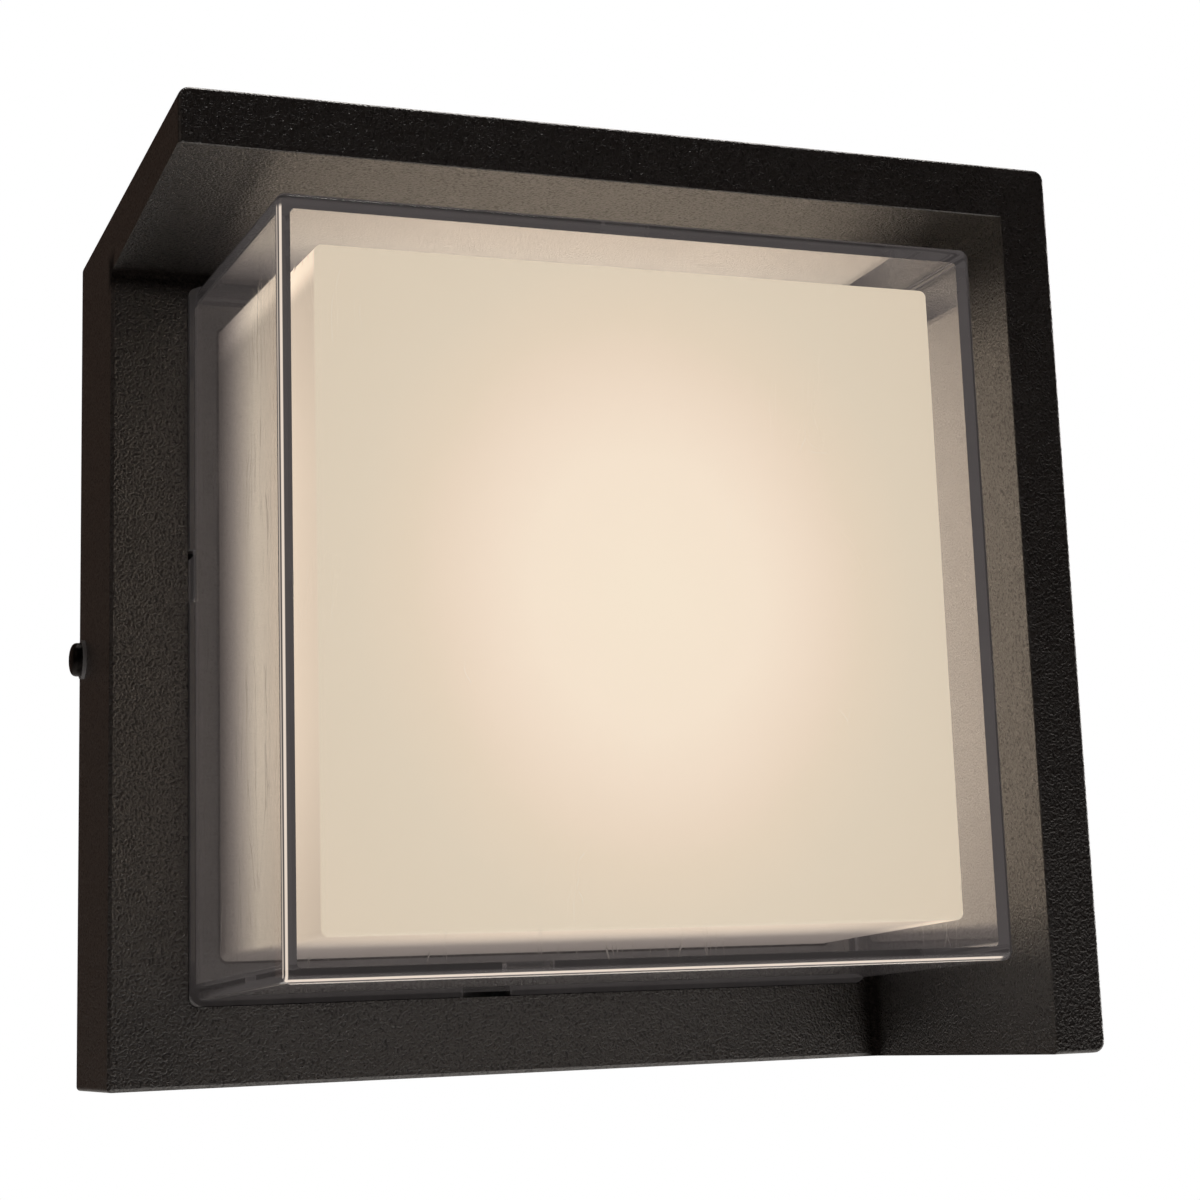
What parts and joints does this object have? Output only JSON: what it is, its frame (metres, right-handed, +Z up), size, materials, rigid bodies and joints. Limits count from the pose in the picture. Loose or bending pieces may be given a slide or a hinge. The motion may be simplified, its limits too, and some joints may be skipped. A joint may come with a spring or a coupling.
{
  "type": "outdoor wall lantern",
  "caption": "Square wall lantern: cast base with an L-shaped hood over its top and right side, a clear box cover standing on the base and a glowing opal box inside it.",
  "frame": {"origin": "centre of the wall plane, at the middle of the bracket", "axes": "+X to the viewer's right, +Y into the wall, +Z up"},
  "size_m": [0.2068, 0.126, 0.2],
  "materials": {
    "black_powder_coat": "cast aluminium under a black, leather-textured powder coat",
    "clear_polycarbonate": "clear, polished",
    "opal_polycarbonate": "opal, fine matt, lit from inside",
    "silicone_grey": "matt silicone rubber",
    "zinc_steel": "zinc plated",
    "black_steel": "black oxide",
    "board_white": "white solder mask on aluminium",
    "led_package": "phosphor filled silicone",
    "white_plastic": "white moulded plastic",
    "pad_grey": "soft heat-conducting pad",
    "driver_plastic": "moulded plastic",
    "lead_red": "PVC insulation",
    "lead_black": "PVC insulation",
    "lead_brown": "PVC insulation",
    "lead_blue": "PVC insulation",
    "lead_green": "PVC insulation, green and yellow",
    "tinned_brass": "tinned",
    "galvanised_sheet": "galvanised sheet",
    "green_steel": "green passivated earth screw"
  },
  "bodies": {
    "bracket": {"wall_bracket": "galvanised_sheet"},
    "bond_screw": {"bond_screw": "green_steel"},
    "cover": {"clear_cover": "clear_polycarbonate"},
    "screw_left": {"side_screw_left": "black_steel"},
    "screw_right": {"side_screw_right": "black_steel"},
    "terminal_live": {"terminal_screw_live": "tinned_brass"},
    "terminal_neutral": {"terminal_screw_neutral": "tinned_brass"},
    "terminal_earth": {"terminal_screw_earth": "tinned_brass"},
    "lamp": {"housing": "black_powder_coat", "cover_gasket": "silicone_grey", "opal_diffuser": "opal_polycarbonate", "diffuser_screws": "zinc_steel", "led_board": "board_white", "thermal_pad": "pad_grey", "led_chips": "led_package", "reflector_tray": "white_plastic", "board_screws": "zinc_steel", "board_plug": "white_plastic", "led_lead_red": "lead_red", "led_lead_black": "lead_black", "face_grommet": "silicone_grey", "driver_case": "driver_plastic", "driver_lid": "driver_plastic", "driver_screws": "zinc_steel", "back_plate": "galvanised_sheet", "plate_seal": "silicone_grey", "plate_screws": "zinc_steel", "plate_grommet": "silicone_grey", "terminal_block": "white_plastic", "supply_lead_live": "lead_brown", "supply_lead_neutral": "lead_blue", "earth_lead": "lead_green", "earth_lug": "tinned_brass", "earth_screw": "green_steel", "screw_washers": "silicone_grey", "clamp_nuts": "zinc_steel"}
  },
  "joints": [
    {"name": "lamp_lift_off", "type": "slide", "parent": "bracket", "child": "lamp", "axis": [0, -1, 0], "range_m": [0, 0.15]},
    {"name": "cover_pull_off", "type": "slide", "parent": "lamp", "child": "cover", "axis": [0, -1, 0], "range_m": [0, 0.1]},
    {"name": "screw_left_turn", "type": "hinge", "parent": "lamp", "child": "screw_left", "pos_m": [-0.1, -0.0065, 0], "axis": [1, 0, 0], "continuous": true},
    {"name": "screw_right_turn", "type": "hinge", "parent": "lamp", "child": "screw_right", "pos_m": [0.1, -0.0065, 0], "axis": [-1, 0, 0], "continuous": true},
    {"name": "bond_screw_turn", "type": "hinge", "parent": "bracket", "child": "bond_screw", "pos_m": [0.02, -0.002, 0.011], "axis": [0, 1, 0], "continuous": true},
    {"name": "terminal_live_turn", "type": "hinge", "parent": "lamp", "child": "terminal_live", "pos_m": [-0.0087, -0.0083, 0.0425], "axis": [0, -1, 0], "continuous": true},
    {"name": "terminal_neutral_turn", "type": "hinge", "parent": "lamp", "child": "terminal_neutral", "pos_m": [0.0013, -0.0083, 0.0425], "axis": [0, -1, 0], "continuous": true},
    {"name": "terminal_earth_turn", "type": "hinge", "parent": "lamp", "child": "terminal_earth", "pos_m": [0.0113, -0.0083, 0.0425], "axis": [0, -1, 0], "continuous": true}
  ]
}
